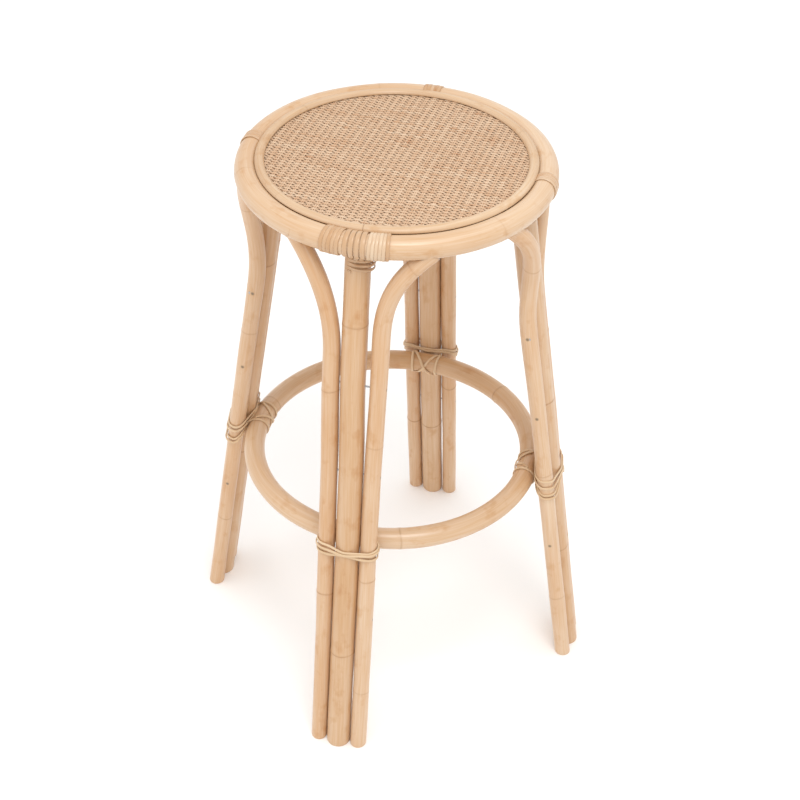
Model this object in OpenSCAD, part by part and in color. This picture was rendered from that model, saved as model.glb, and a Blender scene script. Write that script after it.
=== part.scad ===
// Rattan bar stool: a round seat of woven cane on four splayed legs of bundled
// poles, with a ring footrest lashed inside the legs.
// Millimetres. Origin on the floor at the middle of the four feet, +Z up.
// Legs stand on -Y (front), +X (right), +Y (back) and -X (left).

/* [Overall] */
// Height of the stool, floor to the top of the seat bead
seat_h = 748; // [620:1:820]
// Outer diameter of the seat ring
seat_d = 380; // [316:2:440]
// Diameter of the circle through the middles of the four feet
foot_circle_d = 524; // [470:2:620]

/* [Seat] */
// Thickness of the pole bent into the seat ring
ring_pole_d = 28; // [23:0.5:34]
// Width of the half-round strip bent into the bead
bead_d = 10.6; // [8:0.1:14]
// Depth of the woven cane below the top of the seat ring
cane_drop = 3.2; // [1.5:0.1:6]
// Thickness of the plywood seat board
board_t = 9; // [6:0.5:12]
// Thickness of the woven cane
cane_t = 2; // [1:0.1:3]

/* [Legs] */
// Thickness of each leg's middle pole
leg_pole_d = 31; // [25.5:0.5:36]
// Depth of the hollow that fits the top of each middle pole to the seat ring
leg_cope = 1.5; // [0.8:0.1:4]
// Thickness of the two braces beside each middle pole
brace_d = 21; // [16:0.5:25.5]
// Space between a brace and its middle pole
brace_gap = 1; // [0.4:0.1:3]
// Radius of the bend that carries a brace out under the seat ring
brace_bend_r = 170; // [135:1:205]
// Turn of that bend towards the outside of the stool, in degrees
brace_bend_turn = 11; // [0:1:20]

/* [Footrest] */
// Height of the footrest ring's centre line
footrest_h = 305; // [230:5:360]
// Thickness of the pole bent into the footrest ring
footrest_pole_d = 27; // [22:0.5:32]

/* [Bindings] */
// Thickness of the flat rattan peel wound round the poles
peel_t = 1.2; // [0.8:0.1:1.6]
// Length of seat ring under the wide front binding
front_binding_w = 83; // [50:1:95]
// Length of seat ring under the back binding
back_binding_w = 27; // [16:1:60]
// Length of seat ring under the left and right bindings
side_binding_w = 22; // [16:1:60]
// Turns of peel in the collar at the top of each leg
collar_turns = 4; // [2:1:6]
// Width of one turn of the collar
collar_pitch = 3.8; // [2.5:0.1:5]
// Drop from the seat ring's centre line to the top of a collar
collar_drop = 26.5; // [22:0.5:40]
// Thickness of the peel strands that lash the footrest
lash_d = 3; // [2:0.1:4]
// Height of the lashing's belt round the three poles of a leg
lash_belt_h = 8; // [5:0.5:12]
// Distance of each lashing loop from the middle of its leg
lash_loop_side = 18; // [16:0.5:22]

/* [Fasteners] */
// Shank diameter of the wood screws
screw_d = 4; // [3:0.5:5]
// Head diameter of the wood screws
screw_head_d = 8; // [7:0.5:10]
// Rise of the screws that hold the seat ring to the legs, in degrees
ring_screw_rise = 28; // [25:1:32]
// Shank diameter of the nails
nail_d = 2.2; // [1.6:0.1:3]
// Shank diameter of the brads through the bead
brad_d = 1.4; // [1:0.1:1.8]
// Number of brads round the bead
brad_count = 12; // [6:1:24]
// Lean of the brads towards the middle of the seat, in degrees
brad_lean = 25; // [15:1:35]
// Length of the cut where the two ends of a bent ring meet, in degrees off square
scarf_slant = 50; // [0:1:55]

/* [Hidden] */
$fn = 96;

// The four legs, by the quarter turn that brings the front leg to them
FRONT = 0;
RIGHT = 1;
BACK = 2;
LEFT = 3;

// Colours
pole_colour = "#E3BF93";
brace_colour = "#E8C79E";
peel_colour = "#D9B283";
cane_colour = "#CBA67C";
board_colour = "#D8C09A";
steel_colour = "#A9ACB0";

// Play that keeps pieces that touch from sharing space
touch = 0.2;
// Play round a nail or screw in its own hole
shank_play = 0.05;
// Saw gap where the two ends of a bent ring meet
joint_gap = 0.3;
// Play between the seat board and the bindings round the ring
board_play = 0.4;

// Seat
ring_r = (seat_d - ring_pole_d) / 2;
bead_z = seat_h - bead_d / 2;
cane_top = bead_z - touch;
ring_z = cane_top + cane_drop - ring_pole_d / 2;
wrap_r = ring_pole_d / 2 + touch + peel_t;
bead_r = ring_r - sqrt(pow(wrap_r + touch, 2) - pow(bead_z - ring_z, 2)) - bead_d / 2;
board_top = cane_top - cane_t;
board_z = board_top - board_t;
board_r = ring_r - wrap_r - board_play;

// Legs: each middle pole runs straight from its foot to the seat, close inside the seat ring
foot_r = foot_circle_d / 2;
leg_inset = ring_pole_d / 2 + leg_pole_d / 2 - leg_cope;
splay = atan((foot_r - ring_r + leg_inset) / ring_z);
function leg_r(z) = foot_r - z * tan(splay);

// Braces: straight beside the middle pole, then bent out to end under the ring's centre line
brace_off = leg_pole_d / 2 + brace_gap + brace_d / 2;
ring_under_z = ring_z - ring_pole_d / 2;
bend_side = cos(brace_bend_turn);
bend_out = sin(brace_bend_turn) / cos(splay);
bend_sum = pow(bend_side, 2) + pow(bend_out, 2);
bend_half = brace_off * bend_side + leg_r(ring_under_z) * bend_out;
bend_rest = pow(ring_r, 2) - pow(brace_off, 2) - pow(leg_r(ring_under_z), 2);
brace_reach = (sqrt(pow(bend_half, 2) + bend_sum * bend_rest) - bend_half) / bend_sum;
brace_end_x = brace_off + brace_reach * bend_side;
brace_end_turn = acos(1 - brace_reach / brace_bend_r);
brace_rise = brace_bend_r * sin(brace_end_turn);
brace_bend_start = ring_under_z / cos(splay) - brace_reach * sin(brace_bend_turn) * tan(splay)
                   - brace_rise;
brace_sweep = asin(min(0.99, (brace_rise + brace_d) / brace_bend_r));
brace_top_z = ring_z - sqrt(pow(ring_pole_d / 2, 2) - pow(brace_d / 2, 2));

// Footrest: a ring that touches each middle pole from inside
footrest_r = leg_r(footrest_h) - (leg_pole_d / 2 + footrest_pole_d / 2 + touch) / cos(splay);

// Lashings: a belt round the three poles, just above the footrest, and two loops round the ring
lash_rise = 0.45 * footrest_pole_d;
lash_belt_w = (footrest_h + lash_rise + (leg_pole_d / 2 + touch + lash_d) * sin(splay)) / cos(splay);
lash_loop_r = footrest_pole_d / 2 + touch + lash_d / 2;
lash_loop_turn = asin(lash_loop_side / footrest_r);
tangent_turn = acos((leg_pole_d - brace_d) / 2 / brace_off);

// Joints in the bent rings, beside the front leg
ring_joint_turn = -8;
footrest_joint_turn = -8;
bead_joint_turn = 2;

// Fasteners
screw_head_h = (screw_head_d - screw_d) / 2;
screw_tip_h = 1.5 * screw_d;
screw_sink = 1;
ring_screw_side = 4;
ring_screw_back = (leg_inset + leg_pole_d / 2 / cos(splay))
                  / (cos(ring_screw_rise) + sin(ring_screw_rise) * tan(splay)) - 2 * screw_sink;
ring_screw_len = ring_screw_back + ring_pole_d / 4;
board_screw_side = 7;
board_screw_len = board_t + 24;
footrest_screw_head_r = footrest_r - footrest_pole_d / 2 + screw_sink;
footrest_screw_len = leg_r(footrest_h) + leg_pole_d / 8 - footrest_screw_head_r;
nail_head_h = 1;
nail_sink = 1.2;
brace_nail_len = brace_off + brace_d / 2 - nail_sink - 1.5;
brace_nail_ws = [footrest_h - 95, footrest_h + 120, brace_bend_start - 60];
brace_half_drop = brace_d / 2 / sin(brace_end_turn);
end_nail_sink = 2.5;
end_nail_len = brace_half_drop - end_nail_sink + 0.6 * ring_pole_d;
end_nail_turn = asin(brace_end_x / ring_r);
brad_sink = 0.4;
// Place of the first brad, as a share of the space between two brads
brad_shift = 0.35;
brad_len = bead_d / 2 - brad_sink + (touch + cane_t + 0.7 * board_t) / cos(brad_lean);
joint_nail_rise = 4.5;

// ---- Places ------------------------------------------------------------

// Turns what is drawn for the front leg to leg number i
module turn_to(i) {
    rotate([0, 0, 90 * i]) children();
}

// The frame of leg i: z runs up its middle pole from the foot, x runs along the seat ring
module at_leg(i) {
    turn_to(i) translate([0, -foot_r, 0]) rotate([-splay, 0, 0]) children();
}

// Everything from the floor up to a height
module floor_to(z) {
    cylinder(r = foot_circle_d, h = z);
}

// ---- Stock -------------------------------------------------------------

// A pole bent into a full ring, lying flat
module bent_ring(r, d, z) {
    translate([0, 0, z]) rotate_extrude() translate([r, 0]) circle(d = d);
}

// The saw cut where the ring's two ends meet, turn degrees along from the front leg
module ring_joint(r, d, z, turn, slant) {
    rotate([0, 0, turn]) translate([0, -r, z]) rotate([0, 0, slant])
        cube([joint_gap, 3 * d, 2 * d], center = true);
}

// A straight pole along a leg, longer than the leg at both ends
module leg_stock(d) {
    translate([0, 0, -d]) cylinder(d = d, h = seat_h / cos(splay) + d);
}

// A brace with its bend, on the +x side of the leg
module brace_stock() {
    translate([brace_off, 0, 0]) rotate([0, 0, -brace_bend_turn]) {
        translate([0, 0, -brace_d]) cylinder(d = brace_d, h = brace_bend_start + brace_d);
        translate([brace_bend_r, 0, brace_bend_start]) rotate([90, 0, 180])
            rotate_extrude(angle = brace_sweep) translate([brace_bend_r, 0]) circle(d = brace_d);
    }
}

// A countersunk wood screw with its head's face at z = 0, pointing along +z.
// With play it is the screw's hole, and above is how far that stays open over the head.
module screw(len, play = 0, above = 0) {
    d = screw_d + 2 * play;
    head_d = screw_head_d + 2 * play;
    rotate_extrude() polygon([[0, -above], [head_d / 2, -above], [head_d / 2, 0], [d / 2, screw_head_h],
                              [d / 2, len - screw_tip_h], [d / 8, len + play], [0, len + play]]);
}

module screw_hole(len) {
    screw(len, shank_play, len);
}

// A nail with its head's face at z = 0, pointing along +z, or its hole, as for the screw
module nail(len, d = nail_d, play = 0, above = 0) {
    head_r = d + play;
    rotate_extrude() polygon([[0, -above], [head_r, -above], [head_r, nail_head_h + play],
                              [d / 2 + play, nail_head_h + play], [d / 2 + play, len - 1.5 * d],
                              [d / 8, len + play], [0, len + play]]);
}

module nail_hole(len, d = nail_d) {
    nail(len, d, shank_play, len);
}

// ---- Where the fasteners go ----------------------------------------------

// Out of the top of leg i, up into the seat ring
module at_ring_screw(i) {
    turn_to(i) translate([ring_screw_side, -ring_r, ring_z]) rotate([90 - ring_screw_rise, 0, 0])
        translate([0, 0, -ring_screw_back]) children();
}

// Down through the seat board into the top of leg i
module at_board_screw(i) {
    turn_to(i) translate([-board_screw_side, -leg_r(board_z), board_top - 0.3]) rotate([180, 0, 0])
        children();
}

// Out of the footrest ring into leg i
module at_footrest_screw(i) {
    turn_to(i) translate([0, -footrest_screw_head_r, footrest_h]) rotate([90, 0, 0]) children();
}

// Through the brace on one side (+1 or -1) of leg i into the middle pole
module at_brace_nails(i, side) {
    for (w = brace_nail_ws)
        at_leg(i) translate([side * (brace_off + brace_d / 2 - nail_sink), 0, w])
            rotate([0, -90 * side, 0]) children();
}

// Up through the end of a brace into the seat ring
module at_end_nail(i, side) {
    rotate([0, 0, 90 * i + side * end_nail_turn])
        translate([0, -ring_r, ring_under_z - brace_half_drop + end_nail_sink]) children();
}

// Down through the bead and the cane into the board
module at_brads() {
    for (k = [0 : brad_count - 1])
        rotate([0, 0, (k + brad_shift) * 360 / brad_count]) translate([bead_r, 0, bead_z])
            rotate([0, 180 + brad_lean, 0]) translate([0, 0, brad_sink - bead_d / 2]) children();
}

// From outside through the two lapped ends of a bent ring, one nail above the other
module at_joint_nails(r, d, z, turn) {
    for (rise = [-joint_nail_rise, joint_nail_rise])
        rotate([0, 0, turn]) translate([0, -r - d / 2 + 2 * nail_sink, z + rise])
            rotate([-90, 0, 0]) children();
}

// ---- Seat ----------------------------------------------------------------

module seat_ring() {
    color(pole_colour) difference() {
        bent_ring(ring_r, ring_pole_d, ring_z);
        ring_joint(ring_r, ring_pole_d, ring_z, ring_joint_turn, scarf_slant);
        for (i = [FRONT, RIGHT, BACK, LEFT]) {
            at_ring_screw(i) screw(ring_screw_len, shank_play);
            for (side = [-1, 1]) at_end_nail(i, side) nail(end_nail_len, nail_d, shank_play);
        }
        at_joint_nails(ring_r, ring_pole_d, ring_z, ring_joint_turn)
            nail_hole(ring_pole_d - 4 * nail_sink);
    }
}

// A half-round strip, flat on the cane
module seat_bead() {
    color(brace_colour) difference() {
        translate([0, 0, bead_z]) rotate_extrude() translate([bead_r, 0]) intersection() {
            circle(d = bead_d);
            translate([-bead_d, 0]) square([2 * bead_d, bead_d]);
        }
        ring_joint(bead_r, bead_d, bead_z, bead_joint_turn, 0);
        at_brads() nail_hole(brad_len, brad_d);
    }
}

module seat_cane() {
    color(cane_colour) difference() {
        translate([0, 0, board_top]) cylinder(r = board_r, h = cane_t);
        at_brads() nail(brad_len, brad_d, shank_play);
    }
}

module seat_board() {
    color(board_colour) difference() {
        translate([0, 0, board_z]) cylinder(r = board_r, h = board_t);
        at_brads() nail(brad_len, brad_d, shank_play);
        for (i = [FRONT, RIGHT, BACK, LEFT]) at_board_screw(i) screw_hole(board_screw_len);
    }
}

// ---- Legs ------------------------------------------------------------------

// A middle pole: flat on the floor, level under the board, hollowed to fit the ring
module leg_pole(i) {
    color(pole_colour) difference() {
        intersection() {
            at_leg(i) leg_stock(leg_pole_d);
            floor_to(board_z);
        }
        bent_ring(ring_r, ring_pole_d + 2 * touch, ring_z);
        at_ring_screw(i) screw_hole(ring_screw_len);
        at_board_screw(i) screw(board_screw_len, shank_play);
        at_footrest_screw(i) screw(footrest_screw_len, shank_play);
        for (side = [-1, 1]) at_brace_nails(i, side) nail(brace_nail_len, nail_d, shank_play);
    }
}

// A brace: flat on the floor, its bent end hollowed to sit under the ring
module brace(i, side) {
    color(brace_colour) difference() {
        intersection() {
            at_leg(i) mirror([side < 0 ? 1 : 0, 0, 0]) brace_stock();
            floor_to(brace_top_z);
        }
        bent_ring(ring_r, ring_pole_d + 2 * touch, ring_z);
        at_brace_nails(i, side) nail_hole(brace_nail_len);
        at_end_nail(i, side) nail_hole(end_nail_len);
    }
}

// ---- Footrest ----------------------------------------------------------------

module footrest_ring() {
    color(pole_colour) difference() {
        bent_ring(footrest_r, footrest_pole_d, footrest_h);
        ring_joint(footrest_r, footrest_pole_d, footrest_h, footrest_joint_turn, scarf_slant);
        for (i = [FRONT, RIGHT, BACK, LEFT]) at_footrest_screw(i) screw_hole(footrest_screw_len);
        at_joint_nails(footrest_r, footrest_pole_d, footrest_h, footrest_joint_turn)
            nail_hole(footrest_pole_d - 4 * nail_sink);
    }
}

// ---- Bindings ----------------------------------------------------------------

// Peel wound round the seat ring over leg i, open where the middle pole meets the ring
module ring_wrap(i, width) {
    sweep = width / ring_r * 180 / PI;
    difference() {
        rotate([0, 0, 90 * i - 90 - sweep / 2]) translate([0, 0, ring_z])
            rotate_extrude(angle = sweep) translate([ring_r, 0]) difference() {
                circle(r = wrap_r);
                circle(d = ring_pole_d + 2 * touch);
            }
        intersection() {
            at_leg(i) leg_stock(leg_pole_d + 2 * touch);
            floor_to(board_z + touch);
        }
        at_ring_screw(i) screw_hole(ring_screw_len);
    }
}

// Peel that runs on from the front binding, down the outside of the leg to the collar
module front_skirt() {
    collar_top = (ring_z - collar_drop) / cos(splay);
    difference() {
        intersection() {
            at_leg(FRONT) translate([0, 0, collar_top + touch])
                cylinder(d = leg_pole_d + 2 * touch + 2 * peel_t, h = collar_drop - ring_pole_d / 4);
            at_leg(FRONT) translate([-leg_pole_d, -2 * leg_pole_d - leg_pole_d / 5, 0])
                cube([2 * leg_pole_d, 2 * leg_pole_d, seat_h]);
            floor_to(board_z - touch);
        }
        at_leg(FRONT) leg_stock(leg_pole_d + 2 * touch);
        bent_ring(ring_r, ring_pole_d + 2 * touch, ring_z);
        at_ring_screw(FRONT) screw_hole(ring_screw_len);
    }
}

module ring_binding(i, width) {
    color(peel_colour) {
        ring_wrap(i, width);
        if (i == FRONT) front_skirt();
    }
}

// Turns of peel round the top of a middle pole
module leg_collar(i) {
    h = collar_turns * collar_pitch;
    r = leg_pole_d / 2 + touch;
    color(peel_colour) at_leg(i)
        translate([0, 0, (ring_z - collar_drop) / cos(splay) - h]) rotate_extrude() {
            translate([r, 0]) square([peel_t, h]);
            for (k = [0 : collar_turns - 1])
                translate([r + peel_t / 2, (k + 0.5) * collar_pitch]) circle(d = collar_pitch - 1.4);
        }
}

// Outline drawn tight round the three poles of a leg, at a distance from them
module leg_outline(grow) {
    mid = leg_pole_d / 2 + grow;
    out = brace_d / 2 + grow;
    ca = cos(tangent_turn);
    sa = sin(tangent_turn);
    circle(r = mid);
    for (side = [-1, 1]) {
        translate([side * brace_off, 0]) circle(r = out);
        polygon([[side * mid * ca, mid * sa], [side * (brace_off + out * ca), out * sa],
                 [side * (brace_off + out * ca), -out * sa], [side * mid * ca, -mid * sa]]);
    }
}

// The lashing of leg i: a belt round its poles, and two loops that hang the footrest ring on it
module lashing(i) {
    link_z = footrest_h + lash_rise + lash_d / 2;
    color(peel_colour) {
        at_leg(i) translate([0, 0, lash_belt_w]) linear_extrude(lash_belt_h) difference() {
            leg_outline(touch + lash_d);
            leg_outline(touch);
        }
        for (side = [-1, 1]) rotate([0, 0, 90 * i + side * lash_loop_turn]) {
            translate([0, -footrest_r, footrest_h]) rotate([0, 90, 0])
                rotate_extrude() translate([lash_loop_r, 0]) circle(d = lash_d);
            translate([0, -footrest_r - footrest_pole_d / 4, link_z]) rotate([90, 0, 0])
                cylinder(d = lash_d, h = leg_r(link_z) - footrest_r - footrest_pole_d / 4 - brace_d / 2);
        }
    }
}

// ---- Fasteners ----------------------------------------------------------------

module ring_screws() {
    color(steel_colour) for (i = [FRONT, RIGHT, BACK, LEFT]) at_ring_screw(i) screw(ring_screw_len);
}

module board_screws() {
    color(steel_colour) for (i = [FRONT, RIGHT, BACK, LEFT]) at_board_screw(i) screw(board_screw_len);
}

module footrest_screws() {
    color(steel_colour)
        for (i = [FRONT, RIGHT, BACK, LEFT]) at_footrest_screw(i) screw(footrest_screw_len);
}

module brace_nails() {
    color(steel_colour) for (i = [FRONT, RIGHT, BACK, LEFT])
        for (side = [-1, 1]) at_brace_nails(i, side) nail(brace_nail_len);
}

module brace_end_nails() {
    color(steel_colour) for (i = [FRONT, RIGHT, BACK, LEFT])
        for (side = [-1, 1]) at_end_nail(i, side) nail(end_nail_len);
}

module bead_brads() {
    color(steel_colour) at_brads() nail(brad_len, brad_d);
}

module ring_joint_nails() {
    color(steel_colour) at_joint_nails(ring_r, ring_pole_d, ring_z, ring_joint_turn)
        nail(ring_pole_d - 4 * nail_sink);
}

module footrest_joint_nails() {
    color(steel_colour) at_joint_nails(footrest_r, footrest_pole_d, footrest_h, footrest_joint_turn)
        nail(footrest_pole_d - 4 * nail_sink);
}

// ---- The stool ------------------------------------------------------------------

seat_ring();
seat_bead();
seat_cane();
seat_board();
footrest_ring();
leg_pole(FRONT);  // front_leg_pole
leg_pole(RIGHT);  // right_leg_pole
leg_pole(BACK);  // back_leg_pole
leg_pole(LEFT);  // left_leg_pole
brace(FRONT, 1);  // front_brace_right
brace(FRONT, -1);  // front_brace_left
brace(RIGHT, 1);  // right_brace_back
brace(RIGHT, -1);  // right_brace_front
brace(BACK, 1);  // back_brace_left
brace(BACK, -1);  // back_brace_right
brace(LEFT, 1);  // left_brace_front
brace(LEFT, -1);  // left_brace_back
ring_binding(FRONT, front_binding_w);  // front_ring_binding
ring_binding(RIGHT, side_binding_w);  // right_ring_binding
ring_binding(BACK, back_binding_w);  // back_ring_binding
ring_binding(LEFT, side_binding_w);  // left_ring_binding
leg_collar(FRONT);  // front_leg_collar
leg_collar(RIGHT);  // right_leg_collar
leg_collar(BACK);  // back_leg_collar
leg_collar(LEFT);  // left_leg_collar
lashing(FRONT);  // front_lashing
lashing(RIGHT);  // right_lashing
lashing(BACK);  // back_lashing
lashing(LEFT);  // left_lashing
ring_screws();
board_screws();
footrest_screws();
brace_end_nails();
brace_nails();
bead_brads();
ring_joint_nails();
footrest_joint_nails();
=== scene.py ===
# %% [markdown]
# # A rattan bar stool, dressed around its CAD frame
# The stool is made of bent rattan poles: a seat ring with a thin bead inside it, a
# woven cane seat on a plywood board, four legs of three poles each, a ring footrest,
# and flat rattan peel that binds it all together. Nothing on it moves.
# Every pole here is a *sweep*: a round profile carried along a path. Rattan is never
# perfectly round or straight, so the profile's radius changes along the path, and the
# same grid of points also carries the length along the pole, which the grain follows.

import math

import bpy
import numpy as np
from mathutils import Matrix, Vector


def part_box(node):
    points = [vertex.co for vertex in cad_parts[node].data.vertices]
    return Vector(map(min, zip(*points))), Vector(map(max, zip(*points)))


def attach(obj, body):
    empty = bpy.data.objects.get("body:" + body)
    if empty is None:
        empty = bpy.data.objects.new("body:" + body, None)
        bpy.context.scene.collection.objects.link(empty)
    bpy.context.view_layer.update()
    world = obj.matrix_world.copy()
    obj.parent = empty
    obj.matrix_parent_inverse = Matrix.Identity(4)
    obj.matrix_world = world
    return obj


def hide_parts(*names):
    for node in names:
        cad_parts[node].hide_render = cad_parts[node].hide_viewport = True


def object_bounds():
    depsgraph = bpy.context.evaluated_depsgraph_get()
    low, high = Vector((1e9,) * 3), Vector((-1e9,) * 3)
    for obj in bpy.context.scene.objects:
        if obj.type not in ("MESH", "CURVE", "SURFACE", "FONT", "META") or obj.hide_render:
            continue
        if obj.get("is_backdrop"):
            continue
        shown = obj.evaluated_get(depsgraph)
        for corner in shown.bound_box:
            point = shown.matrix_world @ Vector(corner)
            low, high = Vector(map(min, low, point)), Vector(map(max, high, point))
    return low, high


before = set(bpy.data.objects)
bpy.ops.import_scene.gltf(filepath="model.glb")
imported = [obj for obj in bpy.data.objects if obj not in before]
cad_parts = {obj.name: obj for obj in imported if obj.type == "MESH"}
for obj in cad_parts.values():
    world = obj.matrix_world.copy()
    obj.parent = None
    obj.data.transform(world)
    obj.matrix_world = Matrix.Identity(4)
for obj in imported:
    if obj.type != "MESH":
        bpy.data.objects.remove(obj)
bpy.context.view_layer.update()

# %% [markdown]
# ## Sizes
# Positions come from the boxes of the CAD nodes, so the looks sit exactly on the frame.
# A bent ring's box gives its pole's thickness (the box is that tall), its radius and its
# height; the bead is a half-round strip, so its box is half as tall as it is wide. A
# middle pole's box gives its thickness (the box is that wide), its lean and where its
# foot stands. Only the bend and the small wrapping sizes are written here, because no
# box shows them.

# %% Sizes of the rings, from their boxes
MM = 0.001


def ring_sizes(node):
    """Radius of the centre line, thickness and height of a level ring: a ring of
    thickness t and radius r fills a box 2r + t wide and t tall."""
    low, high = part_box(node)
    thick = high.z - low.z
    return (high.x - low.x - thick) / 2, thick, (high.z + low.z) / 2


seat_r, seat_thick, seat_z = ring_sizes("seat_ring")
low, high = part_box("seat_bead")
bead_thick, bead_z = 2 * (high.z - low.z), low.z
bead_r = high.x - bead_thick / 2
rest_r, rest_thick, rest_z = ring_sizes("footrest_ring")
print(f"seat ring r {seat_r:.4f} thick {seat_thick:.4f} at {seat_z:.4f} m")
print(f"footrest r {rest_r:.4f} thick {rest_thick:.4f} at {rest_z:.4f} m")

# %% Sizes of the legs, from one middle pole and one brace
low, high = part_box("right_leg_pole")
pole_thick = high.y - low.y
pole_top = high.z
lean = 0.0
for _ in range(20):
    half = pole_thick / 2 / math.cos(lean)
    lean = math.atan((high.x - low.x - 2 * half) / pole_top)
foot_r = high.x - half

low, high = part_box("front_brace_right")
brace_thick = 2 * (-low.y - foot_r) * math.cos(lean)
brace_side = low.x + brace_thick / 2
print(f"lean {math.degrees(lean):.2f} deg, foot circle r {foot_r:.4f} m")
print(f"middle pole {pole_thick:.4f}, brace {brace_thick:.4f}, side by {brace_side:.4f} m")

# %% Sizes that no box shows
BEND_R = 170 * MM
BEND_TURN = math.radians(11)
PEEL = 1.2 * MM  # thickness of a binding's strip
TOUCH = 0.2 * MM  # gap left between a strip and the wood under it
LASH_WIDE, LASH_THICK = 3.7 * MM, 1.7 * MM
COLLAR_TURNS = 3.3
LEG_IN = (0.0, 0.0, 0.0, 2.5 * MM)  # how far nearer the middle each leg stands


def leg_r(z):
    """Distance of a middle pole's axis from the stool's own axis: it falls in a
    straight line from the foot circle by tan(lean) for each metre of height."""
    return foot_r - z * math.tan(lean)


# a CAD brace ends where its bend, turned a little outward, reaches the ring's centre
# line: |(side + reach cos, leg_r + reach sin)| = seat_r, a quadratic in the reach. The
# row where that bend starts gives the height of the uppermost nails.
under_ring = seat_z - seat_thick / 2
bend_x, bend_y = math.cos(BEND_TURN), math.sin(BEND_TURN) / math.cos(lean)
half_b = brace_side * bend_x + leg_r(under_ring) * bend_y
rest_c = seat_r**2 - brace_side**2 - leg_r(under_ring) ** 2
square = bend_x**2 + bend_y**2
reach = (math.sqrt(half_b**2 + square * rest_c) - half_b) / square
end_turn = math.acos(1 - reach / BEND_R)
bend_start = (under_ring / math.cos(lean) - reach * math.sin(BEND_TURN) * math.tan(lean)
              - BEND_R * math.sin(end_turn))
print(f"braces bend {math.degrees(end_turn):.1f} deg, from {bend_start:.4f} m up the leg")

# %% [markdown]
# ## From a grid of points to a mesh
# A shape is computed as a whole grid at once: rows run along the piece and columns run
# round it. One function turns such a grid into vertices, faces, a UV map and any number
# of per-vertex marks, and closes both ends. The UV map is in metres, along the strand
# and round it, so a grain that is 4 mm wide on the real pole is 4 mm wide here.
# The sign of the enclosed volume tells whether the faces point outwards; if not, every
# face is turned over.

# %% Turn one grid into a closed shell
def shell(grid, along, around, loop=False, **marks):
    """Vertices, quads and cap triangles of a swept grid. grid[i, j] is the point in row
    i (along) and column j (round). Each quad joins (i, j), (i, j+1), (i+1, j+1) and
    (i+1, j). An open piece gets a fan of triangles on each end, to the middle of it."""
    n, m = grid.shape[:2]
    ids = np.arange(n * m).reshape(n, m)
    nxt = np.roll(ids, -1, axis=1)
    here = np.arange(n if loop else n - 1)
    there = (here + 1) % n
    quads = np.stack([ids[here], nxt[here], nxt[there], ids[there]], -1).reshape(-1, 4)
    u0, u1 = (np.broadcast_to(along[k][:, None], (len(here), m)) for k in (here, here + 1))
    v0, v1 = np.broadcast_to(around[:-1], u0.shape), np.broadcast_to(around[1:], u0.shape)
    quad_uv = np.stack([u0, v0, u0, v1, u1, v1, u1, v0], -1).reshape(-1, 4, 2)
    points, tris, tri_uv = grid.reshape(-1, 3), np.zeros((0, 3), int), np.zeros((0, 3, 2))
    marks = {name: np.broadcast_to(value, (n, m)).ravel() for name, value in marks.items()}
    if not loop:
        mids = np.stack([grid[0].mean(0), grid[-1].mean(0)])
        points = np.concatenate([points, mids])
        a, b = np.full(m, n * m), np.full(m, n * m + 1)
        tris = np.concatenate(
            [np.stack([nxt[0], ids[0], a], -1), np.stack([ids[-1], nxt[-1], b], -1)]
        )
        tri_uv = np.zeros((2 * m, 3, 2))
        tri_uv[:m, :, 0], tri_uv[m:, :, 0] = along[0], along[-1]
        tri_uv[:, 0, 1] = tri_uv[:, 1, 1] = np.tile(around[:-1], 2)
        marks = {k: np.concatenate([v, [v[0], v[-1]]]) for k, v in marks.items()}
    a, b, c, d = (points[quads[:, k]] for k in range(4))
    volume = np.einsum("ij,ij->", a, np.cross(b, c)) + np.einsum("ij,ij->", a, np.cross(c, d))
    if len(tris):
        a, b, c = (points[tris[:, k]] for k in range(3))
        volume += np.einsum("ij,ij->", a, np.cross(b, c))
    if volume < 0:
        quads, quad_uv = quads[:, ::-1], quad_uv[:, ::-1]
        tris, tri_uv = tris[:, ::-1], tri_uv[:, ::-1]
    return {"points": points, "quads": quads, "tris": tris, "quad_uv": quad_uv,
            "tri_uv": tri_uv, "marks": marks}


# %% Join shells into one named piece
def in_scene(name, data):
    """A new object in the scene for a mesh, a light or a camera."""
    obj = bpy.data.objects.new(name, data)
    bpy.context.scene.collection.objects.link(obj)
    return obj


def piece(name, shells, material, stands_for):
    """One mesh object from a list of shells: their points are laid end to end, and each
    shell's face numbers are moved up by the points before it. The object stays at the
    origin, and its place is in its mesh."""
    starts = np.cumsum([0] + [len(s["points"]) for s in shells])
    quads = np.concatenate([s["quads"] + k for s, k in zip(shells, starts)])
    tris = np.concatenate([s["tris"] + k for s, k in zip(shells, starts)])
    mesh = bpy.data.meshes.new(name)
    points = np.concatenate([s["points"] for s in shells])
    mesh.from_pydata(points.tolist(), [], quads.tolist() + tris.tolist())
    uv = np.concatenate([s["quad_uv"].reshape(-1) for s in shells]
                        + [s["tri_uv"].reshape(-1) for s in shells])
    mesh.uv_layers.new(name="strand").data.foreach_set("uv", uv.astype(np.float32))
    for mark in shells[0]["marks"]:
        values = np.concatenate([s["marks"][mark] for s in shells]).astype(np.float32)
        mesh.attributes.new(mark, "FLOAT", "POINT").data.foreach_set("value", values)
    mesh.polygons.foreach_set("use_smooth", np.ones(len(mesh.polygons), bool))
    mesh.materials.append(material)
    mesh.validate()
    obj = in_scene(name, mesh)
    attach(obj, "root")
    for node_name in stands_for:
        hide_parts(node_name)
    print(f"{name}: {len(points)} points, {2 * len(quads) + len(tris)} triangles")
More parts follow.
